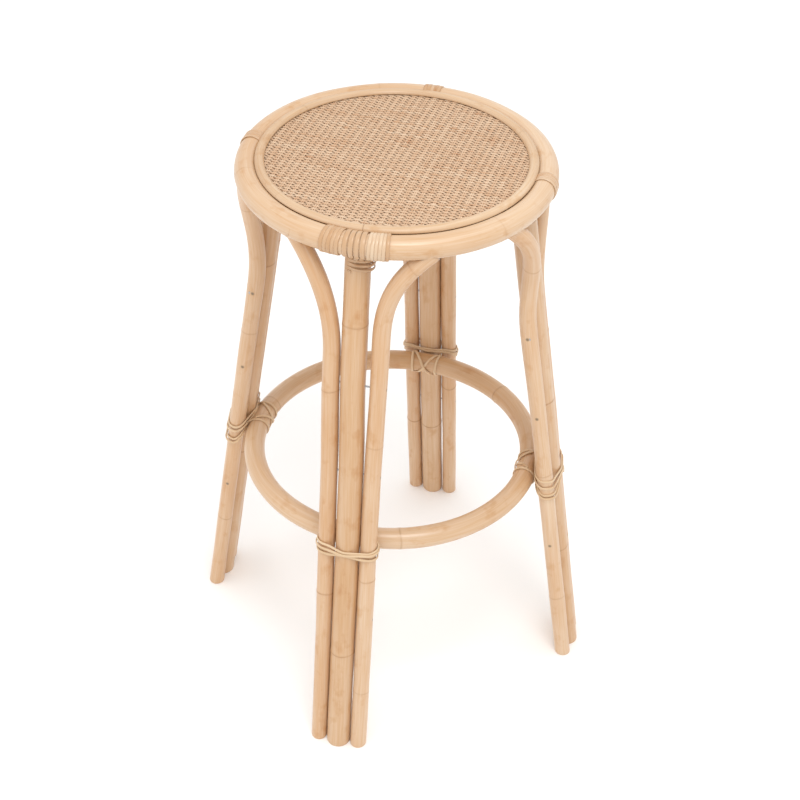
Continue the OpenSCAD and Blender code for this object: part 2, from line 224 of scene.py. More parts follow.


# %% [markdown]
# ## Colour and nodes
# Colours are written as the sRGB hex values that a painter would pick, and one
# function turns them into the linear values that the renderer works with. One small
# function adds a node: plain values fill its inputs, sockets are linked to them.

# %% Colour and node helpers
def linear(code):
    """sRGB hex to linear RGBA: c/12.92 below 0.04045, else ((c + 0.055)/1.055)^2.4."""
    rgb = np.array([int(code[i : i + 2], 16) for i in (1, 3, 5)]) / 255
    low, high = rgb / 12.92, ((rgb + 0.055) / 1.055) ** 2.4
    return (*np.where(rgb <= 0.04045, low, high).tolist(), 1.0)


def add(tree, kind, inputs=(), **settings):
    """Adds one node. inputs is a dict of input name or number to a value or a socket."""
    made_node = tree.nodes.new("ShaderNode" + kind)
    for key, value in settings.items():
        setattr(made_node, key, value)
    for key, value in dict(inputs).items():
        socket = made_node.inputs[key]
        if isinstance(value, bpy.types.NodeSocket):
            tree.links.new(value, socket)
        else:
            socket.default_value = value
    return made_node


def new_material(name, fixed):
    """An empty node material with its shader, whose fixed values are given by name,
    wired to the output."""
    material = bpy.data.materials.new(name)
    material.use_nodes = True
    tree = material.node_tree
    tree.nodes.clear()
    shader = add(tree, "BsdfPrincipled", fixed)
    add(tree, "OutputMaterial", {"Surface": shader.outputs["BSDF"]})
    return material, tree, shader


def ramp(tree, value, low, high, **settings):
    """A value stretched so that low becomes 0 and high becomes 1, and no further."""
    return add(tree, "MapRange", {"Value": value, "From Min": low, "From Max": high},
               clamp=True, **settings).outputs["Result"]


def blend(tree, amount, first, second, **settings):
    """Mixes two colours; each is a hex code or a socket."""
    first, second = (linear(c) if isinstance(c, str) else c for c in (first, second))
    mixer = add(tree, "Mix", {0: amount}, data_type="RGBA", **settings)
    for number, colour in ((6, first), (7, second)):
        if isinstance(colour, bpy.types.NodeSocket):
            tree.links.new(colour, mixer.inputs[number])
        else:
            mixer.inputs[number].default_value = colour
    return mixer.outputs[2]


def noise(tree, place, scale, detail=2.0, **inputs):
    """Noise from 0 to 1 with `scale` blotches to a unit of the place."""
    return add(tree, "TexNoise", {"Vector": place, "Scale": scale, "Detail": detail,
                                  **inputs}).outputs["Fac"]


def mark(tree, name):
    """A per-vertex mark of the mesh, which shell() put there."""
    return add(tree, "Attribute", attribute_name=name).outputs["Fac"]


def weigh(tree, value, weight, rest):
    """value * weight + rest."""
    return add(tree, "Math", {0: value, 1: weight, 2: rest},
               operation="MULTIPLY_ADD").outputs[0]


def dress(tree, shader, colour, rough=None, bump=None):
    """Wires up a colour, a roughness given as (value, at 0, at 1) and a bump given as
    (height, strength, depth in metres)."""
    tree.links.new(colour, shader.inputs["Base Color"])
    if rough:
        names = ("Value", "To Min", "To Max")
        mapped = add(tree, "MapRange", dict(zip(names, rough)))
        tree.links.new(mapped.outputs["Result"], shader.inputs["Roughness"])
    if bump:
        names = ("Height", "Strength", "Distance")
        bumped = add(tree, "Bump", dict(zip(names, bump)))
        tree.links.new(bumped.outputs["Normal"], shader.inputs["Normal"])


# %% [markdown]
# ## Rattan, scraped and varnished
# The poles are manau rattan: steamed, bent, sanded through to the pale fibres and
# sprayed with a satin lacquer. Seen close, thin fibres run the whole length, gathered
# in streaks a few millimetres wide; the colour drifts from pale straw to honey over a
# hand's length; and every 20 to 40 cm a growth ring crosses the pole as a fine brown
# line on a slight swelling. The fibres are finer than the render can show, so the finest
# pattern here is drawn 1.2 mm wide. The lacquer is a thin clear coat with a soft shine.
# Three marks on the mesh steer it: `tone` (0 pale, 1 honey), `ring` (the brown line)
# and `lot`, a number that gives every pole its own piece of the pattern.

# %% The grain's coordinates, shared by everything made of rattan
def strand_noise(tree, per_along, per_round, detail=2.0):
    """Noise stretched along the strand: the UV map is in metres, so per_along and
    per_round say how many blotches fit in a metre each way, and `lot` is the third
    coordinate, so that no two poles show the same noise."""
    uv = add(tree, "UVMap", uv_map="strand").outputs["UV"]
    scaled = add(tree, "VectorMath", {0: uv, 1: (per_along, per_round, 0)},
                 operation="MULTIPLY").outputs["Vector"]
    lift = add(tree, "CombineXYZ", {"Z": mark(tree, "lot")}).outputs["Vector"]
    place = add(tree, "VectorMath", {0: scaled, 1: lift}, operation="ADD").outputs["Vector"]
    return noise(tree, place, 1.0, detail, Roughness=0.55)


# %% Rattan for poles and braces
NAIL_SPOT_EDGE, NAIL_SPOT_CORE = 2.9 * MM, 1.2 * MM


def rattan(name, pale, honey, line, shine, nail_spots=()):
    """Colour = pale to honey by tone + drift + streaks, then the growth line, then a
    grey-brown spot over each nail's head. Bump = fibres and streaks, 0.1 mm deep."""
    material, tree, shader = new_material(
        name, {"IOR": 1.48, "Coat Weight": 0.3, "Coat Roughness": 0.28})
    drift = strand_noise(tree, 9, 14, 1.0)
    streaks = strand_noise(tree, 7, 230, 2.0)
    fibres = strand_noise(tree, 26, 820, 1.0)
    patches = strand_noise(tree, 38, 60, 3.0)
    stripe = weigh(tree, streaks, 1.15, weigh(tree, drift, 1.0, mark(tree, "tone")))
    colour = blend(tree, ramp(tree, stripe, 0.75, 2.05), pale, honey)
    colour = blend(tree, ramp(tree, fibres, 0.35, 0.8), colour, "#F7EEDD",
                   blend_type="MULTIPLY")
    colour = blend(tree, ramp(tree, patches, 0.56, 0.78), colour, "#F0DEC4",
                   blend_type="MULTIPLY")
    colour = blend(tree, mark(tree, "ring"), colour, line)
    if nail_spots:
        uv = add(tree, "UVMap", uv_map="strand").outputs["UV"]
        nearest = None
        for spot in nail_spots:
            far = add(tree, "VectorMath", {0: uv, 1: spot},
                      operation="DISTANCE").outputs["Value"]
            if nearest is not None:
                far = add(tree, "Math", {0: far, 1: nearest}, operation="MINIMUM").outputs[0]
            nearest = far
        spotted = ramp(tree, nearest, NAIL_SPOT_EDGE, NAIL_SPOT_CORE)
        colour = blend(tree, spotted, colour, "#857055")
    dress(tree, shader, colour, (patches, shine, shine + 0.14),
          (weigh(tree, fibres, 0.4, streaks), 0.35, 0.25 * MM))
    return material


# the line of a brace that faces away from the leg's middle is where v is 0 on its map,
# and the nails go in there
nail_heights = [rest_z - 95 * MM, rest_z + 120 * MM, bend_start - 60 * MM]
nail_spots = [(w, 0.0, 0.0) for w in nail_heights]
pole_rattan = rattan("lacquered_manau_pole", "#DDC4A9", "#CAA177", "#A87B50", 0.27)
brace_rattan = rattan("lacquered_rattan_brace", "#DEC4A8", "#CDA278", "#A57448", 0.3,
                      nail_spots)
bead_rattan = rattan("scraped_rattan_bead", "#D9BFA2", "#BF9870", "#96704B", 0.4)

# %% [markdown]
# ## Rattan peel
# The bindings are the outer skin of the cane, split off flat and a few millimetres
# wide. It is glossier than the scraped poles, with straight fine fibres along the strip,
# and neighbouring turns differ a little in colour because they come from different
# lengths. Woven cane is thinner strips of the same, left unvarnished: duller, browner,
# and every strand its own shade, now and then a greyish one.

# %% Peel for the bindings and strands for the seat
def peel(name, pale, honey, painted_shade_colour, shine, coat, fleck):
    """Colour = pale to honey by each strip's tone and its own fibres, with darker
    flecks, then painted shade where the `ring` mark is set (the cane's dives); roughness from
    the fibres; bump 0.08 mm deep across the strip."""
    material, tree, shader = new_material(
        name, {"IOR": 1.5, "Coat Weight": coat, "Coat Roughness": 0.25})
    fibres = strand_noise(tree, 30, 1100, 2.0)
    drift = strand_noise(tree, 45, 120, 2.0)
    value = weigh(tree, drift, 0.7, weigh(tree, fibres, 0.7, mark(tree, "tone")))
    colour = blend(tree, ramp(tree, value, 0.45, 1.6), pale, honey)
    colour = blend(tree, ramp(tree, drift, 0.62, 0.85), colour, fleck, blend_type="MULTIPLY")
    # painted shade: the `ring` mark, set only on the cane where its strands dive, blends towards
    # the shade colour
    colour = blend(tree, mark(tree, "ring"), colour, painted_shade_colour)
    dress(tree, shader, colour, (fibres, shine, shine + 0.2), (fibres, 0.4, 0.2 * MM))
    return material


binding_peel = peel("split_rattan_peel", "#DAC1A4", "#C0976E", "#96704B", 0.28, 0.4,
                    "#E3C39C")
lash_peel = peel("split_rattan_lashing", "#E2CAA9", "#CFAC83", "#96704B", 0.4, 0.2,
                 "#E3C39C")
cane = peel("woven_rattan_cane", "#E2CAAE", "#C8A07C", "#6E4C2E", 0.5, 0.08, "#DDB897")

# %% [markdown]
# ## Plywood and steel, mostly hidden
# Under the cane lies a round of birch plywood: rotary-cut veneers, so long soft grain on
# its faces and fine layers of about 1.5 mm at its edge. The screws and nails are mild
# steel, zinc plated, a pale grey metal with a dull mottled shine. Their CAD shapes are
# right already, so they stay and only get a finish; Object coordinates are in metres.

# %% Plywood board
VENEER = 1.5 * MM


def plywood():
    """Long grain along X from stretched noise, and one layer for each VENEER of height. Its
    browns are darker than bare birch, as painted shade for the deep holes of the cane above it.
    """
    material, tree, shader = new_material("birch_plywood_board", {"Roughness": 0.62})
    place = add(tree, "TexCoord").outputs["Object"]
    long = add(tree, "Mapping", {"Vector": place, "Scale": (6, 160, 60)}).outputs["Vector"]
    grain = noise(tree, long, 1.0, 4.0)
    height = add(tree, "SeparateXYZ", {"Vector": place}).outputs["Z"]
    layer = add(tree, "Math", {0: height, 1: math.pi / VENEER}, operation="MULTIPLY")
    layer = add(tree, "Math", {0: layer.outputs[0]}, operation="SINE").outputs[0]
    # plywood grain between two browns, both darker than bare birch as painted shade for the
    # weave's holes
    colour = blend(tree, ramp(tree, grain, 0.3, 0.75), "#A8835A", "#7E5C3A")
    colour = blend(tree, ramp(tree, layer, 0.2, 0.5), colour, "#E3CFB0",
                   blend_type="MULTIPLY")
    dress(tree, shader, colour, bump=(grain, 0.3, 0.3 * MM))
    return material


# %% Zinc-plated steel
def plated_steel():
    """Metal with 1 mm blotches of roughness and a slight tint between two greys."""
    material, tree, shader = new_material("zinc_plated_steel", {"Metallic": 1.0})
    blotch = noise(tree, add(tree, "TexCoord").outputs["Object"], 900.0)
    colour = blend(tree, ramp(tree, blotch, 0.3, 0.7), "#B9BCC0", "#9FA3A6")
    dress(tree, shader, colour, (blotch, 0.3, 0.5))
    return material


def finish_node(name, material):
    """Gives a CAD node a new finish without touching its mesh."""
    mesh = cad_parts[name].data
    mesh.materials.clear()
    mesh.materials.append(material)


finish_node("seat_board", plywood())
steel = plated_steel()
fasteners = ("ring_screws", "board_screws", "footrest_screws", "brace_end_nails",
             "brace_nails", "bead_brads", "ring_joint_nails", "footrest_joint_nails")
for name in fasteners:
    finish_node(name, steel)
print("CAD nodes with a new finish:", 1 + len(fasteners))

# %% [markdown]
# ## Poles
# A pole is a round profile swept along its path. Real rattan swells slightly at each
# growth ring, is a touch thicker below it than above, and wanders from round by a few
# tenths of a millimetre. The rows are packed close at a growth ring, where the surface
# changes fast, and sit far apart elsewhere. `ring_marks` gives the brown line: a narrow
# bell curve around a slightly slanted and wavy circle round the pole.

# %% Rows along a pole
COLUMNS = 36


def rows_for(length, knots, step=5 * MM):
    """Distances along a pole: even steps, plus steps of 0.5 mm within 5 mm of a growth
    ring, sorted, with near doubles left out."""
    even = np.linspace(0, length, max(2, int(length / step)))
    fine = [k[0] + np.linspace(-5, 5, 21) * MM for k in knots]
    rows = np.sort(np.concatenate([even, *fine]))
    rows = rows[(rows >= 0) & (rows <= length)]
    keep = np.concatenate([[True], np.diff(rows) > 0.3 * MM])
    keep[-1] = True
    return rows[keep]


def knot_shape(along, angle, knots, seed):
    """Swelling in metres and brown line from 0 to 1 at each point. For a growth ring at
    w, d = along - w - slant: the line is exp(-(d / 1 mm)^2), broken up round the pole
    by two sine waves, with fainter short streaks just before it. The swelling is
    exp(-(d / 3.5 mm)^2) plus a step that makes the pole thicker before the ring and
    fades over 60 mm."""
    rng = np.random.default_rng(seed)
    swell = np.zeros(np.broadcast(along, angle).shape)
    line = np.zeros_like(swell)
    for w, strength in knots:
        turn, sway, broken = rng.uniform(0, 2 * np.pi, 3)
        slant = (0.9 * np.sin(angle + turn) + 0.35 * np.sin(3 * angle + sway)) * MM
        d = along - w - slant
        ragged = 0.75 + 0.25 * np.sin(2 * angle + broken) * np.cos(5 * angle + turn)
        line = np.maximum(line, strength * ragged * np.exp(-((d / (1.0 * MM)) ** 2)))
        fade = np.exp(-((np.minimum(d, 0) / (2.6 * MM)) ** 2)) * (d < 2 * MM)
        streak = 0.5 + 0.5 * np.sin(23 * angle + sway)
        line = np.maximum(line, 0.3 * strength * fade * streak)
        swell += strength * 0.42 * MM * np.exp(-((d / (3.5 * MM)) ** 2))
        swell += strength * 0.2 * MM * np.where(d < 0, np.exp(d / (60 * MM)), 0)
    waves = rng.uniform(0, 2 * np.pi, 4)
    swell += 0.13 * MM * np.sin(2 * angle + waves[0] + 9 * along)
    swell += 0.12 * MM * np.sin(31 * along + waves[1]) + 0.1 * MM * np.sin(57 * along + waves[2])
    return swell, line


# %% [markdown]
# The leg's own frame makes the poles easy: x runs along the seat ring, z runs up the
# pole, and -y points out of the stool. One function carries such points to the stool.
# Two cuts are made like a carpenter's. The lowest rows are sheared, so that the pole
# stands flat on the floor. `cope` hollows the top to fit the ring: any point closer to
# the ring's centre line than the ring's radius is pushed back out to its surface.

# %% Leg frame, level feet and hollowed tops
def leg_to_stool(points, leg):
    """Leans the points inward by `lean`, moves them out to the foot circle, and turns
    them a quarter turn for each leg number (0 front, 1 right, 2 back, 3 left)."""
    x, y, z = points[..., 0], points[..., 1], points[..., 2]
    out = -y * math.cos(lean) - z * math.sin(lean) + foot_r
    up = -y * math.sin(lean) + z * math.cos(lean)
    out = out - LEG_IN[leg]
    c, s = math.cos(leg * math.pi / 2), math.sin(leg * math.pi / 2)
    return np.stack([x * c + out * s, x * s - out * c, up], -1)


def way_to_stool(ways, leg):
    """Turns directions from the leg's frame to the stool's: the moves cancel out."""
    return leg_to_stool(ways, leg) - leg_to_stool(np.zeros((1, 3)), leg)


def cope(points, ring_r, ring_z, clear):
    """Pushes points out of a ring: with q = (distance from the axis - ring_r, height -
    ring_z), a point with |q| < clear moves to clear * q / |q|."""
    flat = np.hypot(points[..., 0], points[..., 1])
    q = np.stack([flat - ring_r, points[..., 2] - ring_z], -1)
    size = np.linalg.norm(q, axis=-1)
    push = np.where(size < clear, clear / np.maximum(size, 1e-6), 1.0)
    new = q * push[..., None]
    scale = (new[..., 0] + ring_r) / np.maximum(flat, 1e-9)
    return np.stack([points[..., 0] * scale, points[..., 1] * scale,
                     new[..., 1] + ring_z], -1)


# %% The bend of a brace
def bend_line(rows, start, radius, end, first, last):
    """Centre line of a stick that goes straight up z and bends from the row `start` on.
    With t = (row - start) / radius, the heading is (sin t cos b, -sin t sin b, cos t):
    it tips over by t, and the way b it tips to turns from `first` to `last` as t goes
    from 0 to `end`. The line is the running sum of the headings."""
    turn = np.clip((rows - start) / radius, 0, None)
    way = first + (last - first) * turn / end
    heading = np.stack([np.sin(turn) * np.cos(way), -np.sin(turn) * np.sin(way),
                        np.cos(turn)], -1)
    steps = (heading[1:] + heading[:-1]) / 2 * np.diff(rows)[:, None]
    return np.concatenate([[[0, 0, rows[0]]], steps]).cumsum(0), turn, way


def start_of(radius, end, first, last):
    """Row at which the bend has to start for its end to reach the ring's underside."""
    line, _, _ = bend_line(np.linspace(0, radius * end, 200), 0.0, radius, end, first, last)
    return (under_ring + line[-1, 1] * math.sin(lean)) / math.cos(lean) - line[-1, 2]


# %% A leg pole or brace
SHEARED = 40 * MM  # length over which the shear of an end fades out
TAPER, TAPER_FROM, TAPER_OVER = 0.6 * MM, 0.35, 0.3
SHIFT_FROM, SHIFT_OVER = 0.42, 0.14


def leg_stick(leg, thick, side, knots, tone, seed, bend=None, shift=(0.0, 0.0)):
    """A stick along the leg, `side` from its middle, on the centre line of bend_line, or
    straight to the ring and thinner by TAPER in radius at its top. Rings of points
    stand square to the line. `shift` moves the part above the footrest sideways and
    outward by a little, in a smooth step. The foot's edge is rounded by 1.5 mm, and the
    foot is level."""
    start = start_of(*bend) if bend else 1.0
    length = start + bend[0] * bend[1] + 10 * MM if bend else pole_top / math.cos(lean)
    rows = rows_for(length, knots)
    edge = np.array([0, 0, 0.15, 0.5, 1.0, 1.5]) * MM
    shrink = np.array([6.0, 1.5, 0.85, 0.38, 0.09, 0.0]) * MM
    rows = np.concatenate([edge, rows[rows > 2.5 * MM]])
    shrink = np.concatenate([shrink, np.zeros(len(rows) - len(edge))])
    angle = np.linspace(0, 2 * np.pi, COLUMNS, endpoint=False)
    swell, line = knot_shape(rows[:, None], angle[None], knots, seed)
    radius = thick / 2 + swell - shrink[:, None]
    if not bend:
        radius -= TAPER * np.clip((rows - TAPER_FROM) / TAPER_OVER, 0, 1)[:, None]
    centre, turn, way = bend_line(rows, start, *(bend or (1.0, 1.0, 0.0, 0.0)))
    high = np.clip((rows - SHIFT_FROM) / SHIFT_OVER, 0, 1)
    high = high * high * (3 - 2 * high)
    centre[:, 0] += abs(side) + shift[0] * high
    centre[:, 0] += 0.35 * MM * np.sin(9 * rows + seed) * np.clip(rows / 0.1, 0, 1)
    centre[:, 1] -= shift[1] * high
    tipped = np.stack([np.cos(turn) * np.cos(way), -np.cos(turn) * np.sin(way),
                       -np.sin(turn)], -1)
    square = np.stack([np.sin(way), np.cos(way), np.zeros(len(rows))], -1)
    c, s = np.cos(way)[:, None], np.sin(way)[:, None]
    across, over = c * tipped + s * square, c * square - s * tipped
    points = (centre[:, None] + (radius * np.cos(angle))[..., None] * across[:, None]
              + (radius * np.sin(angle))[..., None] * over[:, None])
    x, y, z = points[..., 0], points[..., 1], points[..., 2]
    fall = np.clip(1 - rows / SHEARED, 0, 1)
    if not bend:
        fall = fall + np.clip(1 - (length - rows) / SHEARED, 0, 1)
    z = z + y * math.tan(lean) * fall[:, None]
    sign = 1 if side >= 0 else -1
    grid = leg_to_stool(np.stack([sign * x, y, z], -1), leg)
    grid = cope(grid, seat_r, seat_z, seat_thick / 2 + TOUCH)
    around = np.linspace(0, 1, COLUMNS + 1) * math.pi * thick
    around = np.where(around > math.pi * thick / 2, around - math.pi * thick, around)
    around[-1] = 0.0
    drift = 0.12 * np.sin(5 * rows + 1.7 * seed)[:, None]
    return shell(grid, rows, around, tone=tone + drift, ring=line, lot=3.7 * seed + 0.5)


# %% The middle poles: tone, and growth rings as (metres up, strength)
LEGS = ("front", "right", "back", "left")
middle_poles = {
    "front": (0.62, [(0.152, 0.8), (0.627, 0.75)]),
    "right": (0.5, [(0.181, 0.7), (0.431, 0.9)]),
    "back": (0.62, [(0.157, 0.9), (0.560, 0.6)]),
    "left": (0.6, [(0.254, 0.8), (0.575, 0.7)]),
}
middle_shift = {"front": (-2.5 * MM, 0.0)}
for leg, (name, (tone, knots)) in enumerate(middle_poles.items()):
    stick = leg_stick(leg, pole_thick, 0.0, knots, tone, 11 + leg,
                      shift=middle_shift.get(name, (0.0, 0.0)))
    piece(f"{name}_middle_pole", [stick], pole_rattan, [f"{name}_leg_pole"])

# %% The braces
# Each has the side of its leg it is on (the +x side of a leg's frame faces right, back,
# left and front in turn), its tone, its growth rings, and the bend it was given:
# radius in mm, degrees at the end, the way it tips first and last (degrees outward from
# along the ring), and how far in mm its top is off its place, sideways and outward.
USUAL_BEND = (215, 40, 50, -12, 0.0, 0.0)
braces = {
    "front_brace_right": (1, 0.45, [(0.092, 0.35), (0.273, 0.6), (0.468, 0.35), (0.720, 0.4)],
                          (159, 47, 53, -12, 1.2, 0.0)),
    "front_brace_left": (-1, 0.6, [(0.241, 0.8), (0.536, 0.55)],
                         (255, 34, 34, -4, 1.5, 2.3)),
    "right_brace_back": (1, 0.55, [(0.175, 0.7), (0.520, 0.6)],
                         (230, 39, 57, -13, -0.8, -0.2)),
    "right_brace_front": (-1, 0.35, [(0.110, 0.4), (0.330, 0.45), (0.655, 0.5)],
                          (262, 41, 103, -37, -0.8, -1.8)),
    "back_brace_left": (1, 0.6, [(0.158, 0.9), (0.480, 0.5)], USUAL_BEND),
    "back_brace_right": (-1, 0.45, [(0.244, 0.8), (0.610, 0.6)], USUAL_BEND),
    "left_brace_front": (1, 0.55, [(0.140, 0.5), (0.480, 0.4), (0.690, 0.4)],
                         (282, 36, 77, -14, -0.8, -0.8)),
    "left_brace_back": (-1, 0.65, [(0.305, 0.6), (0.590, 0.5)], USUAL_BEND),
}
for number, (name, (side, tone, knots, by_hand)) in enumerate(braces.items()):
    radius, *degrees, along, outward = by_hand
    bend = (radius * MM, *(math.radians(d) for d in degrees))
    stick = leg_stick(LEGS.index(name.split("_")[0]), brace_thick, side * brace_side, knots,
                      tone, 21 + number, bend, (along * MM, outward * MM))
    piece(f"{name}_pole", [stick], brace_rattan, [name])

# %% [markdown]
# ## Bent rings
# The seat ring, the bead and the footrest are poles steamed and bent until their ends
# meet. Each is swept once round, from one cut end to the other, so the grain is cut at
# the joint as it is on the real one, and the butt joint shows as a fine dark line.

# %% A pole bent into a ring
JOINT_GAP = 0.3 * MM
BULGE = 1.3 * MM


def bent_ring(radius, thick, height, joint, knots, tone, seed, columns=COLUMNS, step=4 * MM,
              half_round=False):
    """Centre line: a circle at that height, starting at the joint's angle. The profile's
    angle a is measured from straight out, over the top: the point is at radius +
    r cos a from the axis and height + r sin a. A half-round strip has nothing below its
    height, bulges outward by BULGE more and has a fainter joint. Growth rings are given
    in degrees."""
    length = 2 * math.pi * radius - JOINT_GAP
    marks = [(((k - joint) % 360) / 360 * 2 * math.pi * radius, s) for k, s in knots]
    rows = rows_for(length, marks, step)
    near_end = np.array([0.4, 0.9, 1.6, 2.5]) * MM
    rows = np.unique(np.concatenate([[0], near_end, rows, length - near_end]))
    angle = np.linspace(0, 2 * np.pi, columns, endpoint=False) - math.pi / 2
    swell, line = knot_shape(rows[:, None], angle[None], marks, seed)
    end = np.minimum(rows, length - rows)[:, None]
    line = np.maximum(line, (0.3 if half_round else 0.8) * np.exp(-((end / (0.7 * MM)) ** 2)))
    r = thick / 2 + swell * min(1.0, thick / (24 * MM))
    turn = math.radians(joint) + rows / radius
    flat = radius + r * np.cos(angle)
    lift = r * np.sin(angle)
    if half_round:
        flat += BULGE * np.clip(np.cos(angle), 0, 1)
        lift = np.maximum(lift, 0)
    grid = np.stack([flat * np.cos(turn)[:, None], flat * np.sin(turn)[:, None],
                     height + lift], -1)
    around = np.linspace(0, 1, columns + 1) * math.pi * thick
    drift = 0.2 * np.sin(rows / radius + seed) + 0.08 * np.sin(3 * rows / radius + 2 * seed)
    return shell(grid, rows, around, tone=tone + drift[:, None], ring=line, lot=5.1 * seed)


# %% Seat ring, bead and footrest
ring = bent_ring(seat_r, seat_thick, seat_z, 262, [(112, 0.35), (206, 0.3), (324, 0.25)],
                 0.3, 3)
piece("seat_ring_pole", [ring], pole_rattan, ["seat_ring"])
bead = bent_ring(bead_r, bead_thick, bead_z, 272, [(35, 0.35), (150, 0.3), (230, 0.25)],
                 0.3, 4, 28, 3 * MM, half_round=True)
piece("seat_bead_pole", [bead], bead_rattan, ["seat_bead"])
rest = bent_ring(rest_r, rest_thick, rest_z, 262, [(50, 0.95), (288, 0.6), (170, 0.5)],
                 0.45, 5)
piece("footrest_pole", [rest], pole_rattan, ["footrest_ring"])

# %% [markdown]
# ## Woven cane
# The seat is a plain weave with a twist: the warp goes in pairs of flat strands, a pair
# every 8.8 mm, and single weft strands 2.9 mm apart cross them, over one pair and under
# the next. The weft does the bending: its height follows a rounded wave, which is a sine
# pressed flat by a hyperbolic tangent. Where it dives beside a pair it leaves the two
# small dark holes that give this weave its look, and painted shade darkens the weft
# there to deepen them. The strands end under the bead.

# %% Weave sizes
WARP_PITCH = 8.77 * MM
WEFT_PITCH = 2.86 * MM
WEAVE_TURN = math.radians(-2.8)
low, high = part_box("seat_cane")
cane_r = (high.x - low.x) / 2 - 1 * MM
cane_mid = (low.z + high.z) / 2
SWING = 0.55 * MM  # how far a weft strand goes up and down
SHORTEST = 8 * MM  # half the length below which a strand is left out
PAIR_HALF = 1.12 * MM  # how far a warp strand lies from its pair's middle
print(f"{2 * cane_r / WARP_PITCH:.0f} warp pairs, {2 * cane_r / WEFT_PITCH:.0f} weft strands")


def turned(points):
    """Turns the weave about the stool's axis by a few degrees, as it was laid."""
    c, s = math.cos(WEAVE_TURN), math.sin(WEAVE_TURN)
    x, y = points[..., 0], points[..., 1]
    return np.stack([x * c - y * s, x * s + y * c, points[..., 2]], -1)


def headings(path):
    """Unit vectors along a path."""
    way = np.gradient(path, axis=0)
    return way / np.linalg.norm(way, axis=1)[:, None]


def lengths(path):
    """Length along a path up to each of its points."""
    steps = np.linalg.norm(np.diff(path, axis=0), axis=1)
    return np.concatenate([[0], np.cumsum(steps)])


def flat_strand(path, side, up, width, thick, tone, lot, painted_dive_shade=0.0):
    """A flat strand with a crowned top: five points round, at (+-w/2, -t/2), (+-w/2,
    0.15 t) and (0, t/2), carried along the path with the given side and up directions.
    The dive shade goes into the `ring` mark: painted shade that darkens the strand where it
    dives."""
    across = np.array([-0.5, 0.5, 0.5, 0.0, -0.5])[None, :, None] * np.reshape(width, (-1, 1, 1))
    lift = np.array([-0.5, -0.5, 0.15, 0.5, 0.15])[None, :, None] * thick
    grid = path[:, None] + across * side[:, None] + lift * up[:, None]
    around = np.array([0, 1, 1.2, 1.7, 2.2, 2.4]) * float(np.max(width))
    return shell(grid, lengths(path), around, tone=np.reshape(tone, (-1, 1)),
                 ring=np.reshape(painted_dive_shade, (-1, 1)), lot=lot)


# %% Weft strands, over one pair and under the next
rng = np.random.default_rng(7)
UP = np.array([0.0, 0.0, 1.0])
weft, number = [], 0
for y in np.arange(-int(cane_r / WEFT_PITCH), int(cane_r / WEFT_PITCH) + 1) * WEFT_PITCH:
    y_true = y + rng.normal(0, 0.12 * MM)
    reach = math.sqrt(max(cane_r**2 - y_true**2, 0))
    shade, dark, wobble = rng.normal(0.5, 0.11), rng.random() < 0.05, rng.uniform(0, 6.28)
    number += 1
    if reach < SHORTEST:
        continue
    x = np.linspace(-reach, reach, max(8, int(2 * reach / WARP_PITCH * 8.3)))
    phase = math.pi * x / WARP_PITCH + math.pi * number
    wave = np.tanh(1.9 * np.cos(phase)) / math.tanh(1.9)
    path = np.stack([x, y_true + 0.18 * MM * np.sin(40 * x + wobble),
                     cane_mid + SWING * wave], -1)
    slope = headings(path)
    side = np.cross(np.broadcast_to(UP, slope.shape), slope)
    tone = shade + 0.16 * np.sin(30 * x + wobble) + (0.35 if dark else 0)
    up = np.cross(slope, side)
    wide = WEFT_PITCH * (0.74 + 0.14 * np.abs(wave)) * (1 + 0.04 * np.sin(25 * x + wobble))
    # painted shade: the weft is darkened where it dives beside a warp pair, to deepen the holes
    painted_dive_shade = 0.34 * np.exp(-((wave / 0.4) ** 2)) * (0.6 + 0.4 * np.sin(61 * x + 9 * wobble))
    weft.append(flat_strand(turned(path), turned(side), turned(up), wide, 0.62 * MM,
                            tone, rng.uniform(0, 90), painted_dive_shade))
piece("cane_weft", weft, cane, ["seat_cane"])

# %% Warp pairs, pulled nearly straight
warp = []
for k in range(-int(cane_r / WARP_PITCH), int(cane_r / WARP_PITCH) + 1):
    for half in (-1, 1):
        x_true = k * WARP_PITCH + half * PAIR_HALF + rng.normal(0, 0.08 * MM)
        reach = math.sqrt(max(cane_r**2 - x_true**2, 0))
        shade, wobble = rng.normal(0.55, 0.1), rng.uniform(0, 6.28)
        if reach < SHORTEST:
            continue
        y = np.linspace(-reach, reach, int(2 * reach / WEFT_PITCH * 2.5))
        phase = math.pi * (y / WEFT_PITCH + k + int(cane_r / WEFT_PITCH) + 1)
        path = np.stack([x_true + 0.12 * MM * np.sin(40 * y + wobble), y,
                         cane_mid - 0.16 * MM * np.cos(phase)], -1)
        slope = headings(path)
        side = np.cross(slope, np.broadcast_to(UP, slope.shape))
        up = np.cross(side, slope)
        tone = shade + 0.12 * np.sin(22 * y + wobble)
        warp.append(flat_strand(turned(path), turned(side), turned(up),
                                np.full(len(y), 1.95 * MM), 0.55 * MM, tone,
                                rng.uniform(0, 90)))
piece("cane_warp", warp, cane, ["seat_cane"])

# %% [markdown]
# ## Strips of peel
# Every binding is a flat strip on a path. The strip lies on a surface, so two directions
# matter at each point of the path: where it is heading, and which way is out of the
# surface. Its width runs square to both. The profile is a flat oval, crowned outside.

